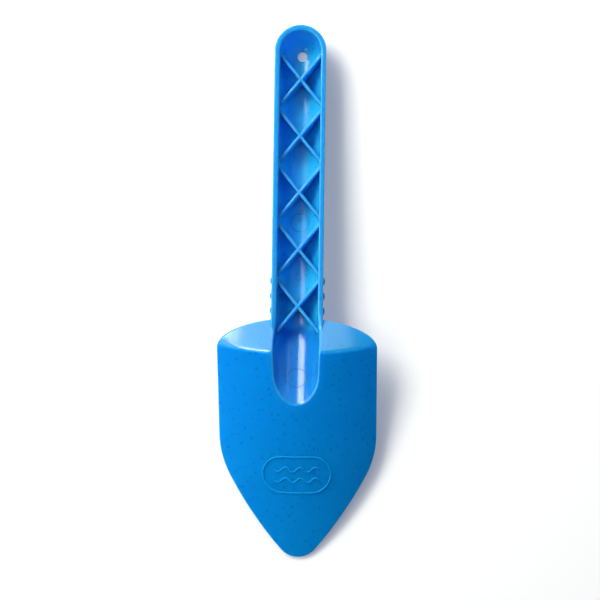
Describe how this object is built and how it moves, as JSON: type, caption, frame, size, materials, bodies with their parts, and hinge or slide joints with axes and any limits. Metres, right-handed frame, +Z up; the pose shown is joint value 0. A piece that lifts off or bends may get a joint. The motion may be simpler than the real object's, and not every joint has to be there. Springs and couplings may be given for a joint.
{
  "type": "sand shovel",
  "caption": "Child's plastic sand shovel: bowed pointed blade with a sloping shoulder, and a straight open-channel handle with cross ribs and a hang hole.",
  "frame": {"origin": "middle of the bounding box in X and Y, at the table that the shovel lies on", "axes": "+Y from the blade's point towards the handle end, +Z up out of the open handle channel, +X to the right seen from above"},
  "size_m": [0.0738, 0.25, 0.0341],
  "materials": {
    "blue_plastic": "satin, speckled"
  },
  "bodies": {
    "root": {"handle_channel": "blue_plastic", "handle_end": "blue_plastic", "neck_channel": "blue_plastic", "trough_nose": "blue_plastic", "blade_shell": "blue_plastic", "shoulder_left": "blue_plastic", "shoulder_right": "blue_plastic", "cross_rib_1": "blue_plastic", "cross_rib_2": "blue_plastic", "cross_rib_3": "blue_plastic", "cross_rib_4": "blue_plastic", "cross_rib_5": "blue_plastic", "grip_ridge_1": "blue_plastic", "grip_ridge_2": "blue_plastic", "grip_ridge_3": "blue_plastic", "emblem_border": "blue_plastic", "emblem_wave_1": "blue_plastic", "emblem_wave_2": "blue_plastic"}
  },
  "joints": []
}
